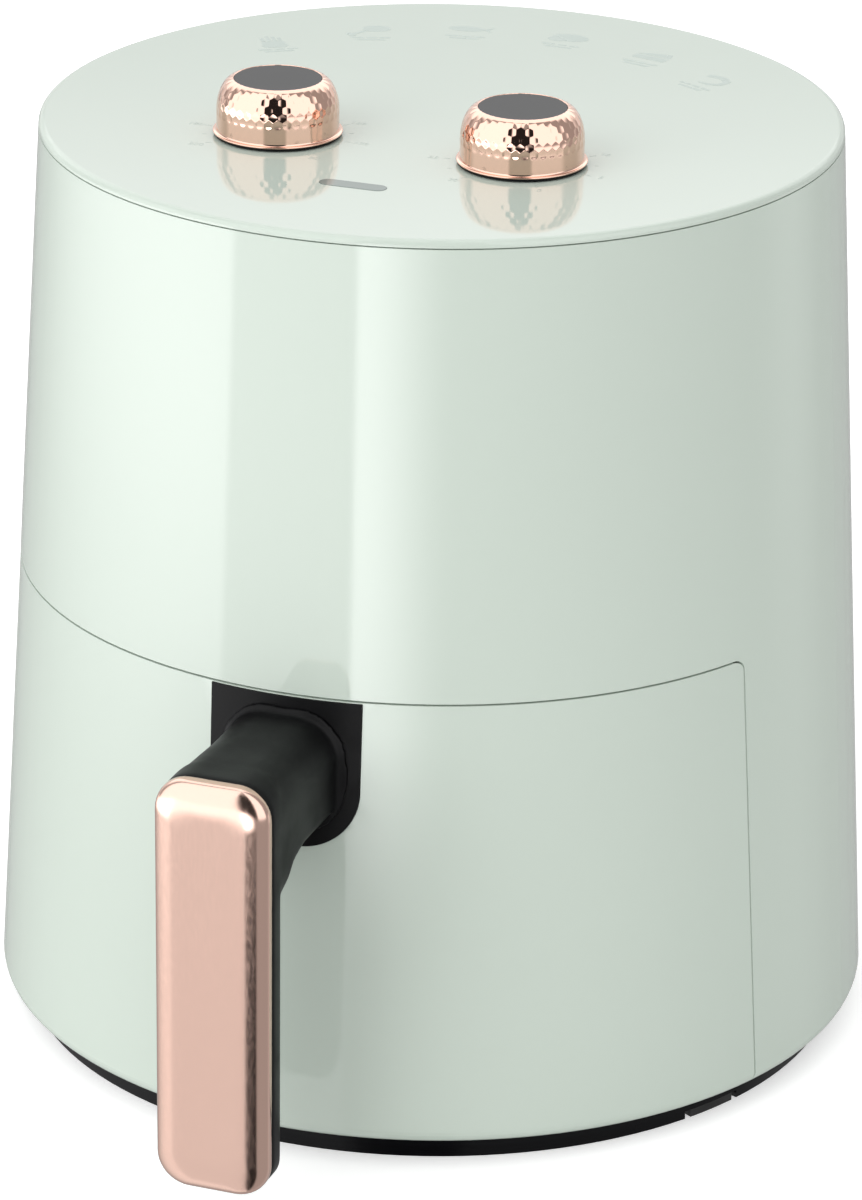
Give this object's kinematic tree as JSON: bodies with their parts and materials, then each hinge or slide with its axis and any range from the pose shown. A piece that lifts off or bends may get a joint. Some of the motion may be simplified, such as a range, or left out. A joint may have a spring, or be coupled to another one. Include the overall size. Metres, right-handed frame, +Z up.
{
  "type": "air fryer",
  "caption": "Round tapered air fryer with a pull-out drawer and pan, an upright bar handle, and timer and temperature knobs on its flat top.",
  "frame": {"origin": "on the body's axis, on the plane the base stands on", "axes": "+Z up along the body's axis, -Y towards the drawer and handle, +X to the right seen from the front"},
  "size_m": [0.271, 0.3262, 0.3012],
  "materials": {
    "mint_gloss": "glossy moulded plastic",
    "black_gloss": "glossy moulded plastic",
    "black_matte": "fine matte moulded plastic",
    "rubber_black": "moulded rubber",
    "rose_gold_satin": "satin rose gold plating",
    "rose_gold_hammered": "hammered mirror rose gold plating",
    "bright_steel": "plain steel",
    "galvanised_steel": "galvanised sheet",
    "coated_steel": "non-stick coated steel",
    "ceramic_white": "matte ceramic or thermoset",
    "copper_red": "enamelled copper",
    "wire_jacket": "silicone wire jackets",
    "window_grey": "smoked translucent plastic",
    "lamp_clear": "lamp bodies",
    "board_green": "circuit board"
  },
  "bodies": {
    "housing": {"base_plate": "black_gloss", "rubber_feet": "rubber_black", "base_screws": "bright_steel", "outer_shell": "mint_gloss", "top_cover": "mint_gloss", "cover_screws": "bright_steel", "rear_grille": "black_matte", "cord_gland": "black_matte", "front_frame": "black_matte", "guide_rails": "galvanised_steel", "cavity_liner": "galvanised_steel", "exhaust_duct": "galvanised_steel", "fan_guard": "bright_steel", "heating_element": "bright_steel", "heater_clips": "galvanised_steel", "heater_bushes": "ceramic_white", "reflector": "bright_steel", "upper_deck": "black_matte", "thermal_fuse": "ceramic_white", "cooling_duct": "black_matte", "motor_bracket": "galvanised_steel", "motor_core": "galvanised_steel", "motor_coil": "copper_red", "motor_cap": "galvanised_steel", "motor_screws": "bright_steel", "control_frame": "galvanised_steel", "control_screws": "bright_steel", "timer_body": "galvanised_steel", "timer_bell": "bright_steel", "thermostat_body": "ceramic_white", "thermostat_bulb": "copper_red", "indicator_window": "window_grey", "indicator_board": "board_green", "indicator_lamps": "lamp_clear", "microswitch": "black_gloss", "terminal_block": "ceramic_white", "wiring": "wire_jacket"},
    "fan_rotor": {"motor_shaft": "bright_steel", "motor_rotor": "galvanised_steel", "hot_air_fan": "bright_steel", "cooling_fan": "black_matte", "fan_nut": "bright_steel"},
    "timer_knob": {"timer_shaft": "bright_steel", "timer_knob_core": "black_matte", "timer_knob_shell": "rose_gold_hammered", "timer_knob_cap": "black_gloss"},
    "thermostat_knob": {"thermostat_shaft": "bright_steel", "thermostat_knob_core": "black_matte", "thermostat_knob_shell": "rose_gold_hammered", "thermostat_knob_cap": "black_gloss"},
    "drawer": {"drawer_front": "mint_gloss", "drawer_inner_panel": "black_matte", "escutcheon": "black_matte", "handle_body": "black_matte", "handle_trim": "rose_gold_satin", "handle_screws": "bright_steel", "pan": "coated_steel", "pan_fixings": "bright_steel"},
    "crisper": {"crisper_plate": "coated_steel", "crisper_feet": "rubber_black"}
  },
  "joints": [
    {"name": "drawer_slide", "type": "slide", "parent": "housing", "child": "drawer", "axis": [0, -1, 0], "range_m": [0, 0.235]},
    {"name": "crisper_lift", "type": "slide", "parent": "drawer", "child": "crisper", "axis": [0, 0, 1], "range_m": [0, 0.127]},
    {"name": "timer_turn", "type": "hinge", "parent": "housing", "child": "timer_knob", "pos_m": [0.0382, -0.037, 0.284], "axis": [0, 0, 1], "range_deg": [-300, 0]},
    {"name": "thermostat_turn", "type": "hinge", "parent": "housing", "child": "thermostat_knob", "pos_m": [-0.0382, -0.037, 0.284], "axis": [0, 0, 1], "range_deg": [-270, 0]},
    {"name": "fan_spin", "type": "hinge", "parent": "housing", "child": "fan_rotor", "pos_m": [0, 0, 0.2], "axis": [0, 0, 1], "continuous": true}
  ]
}
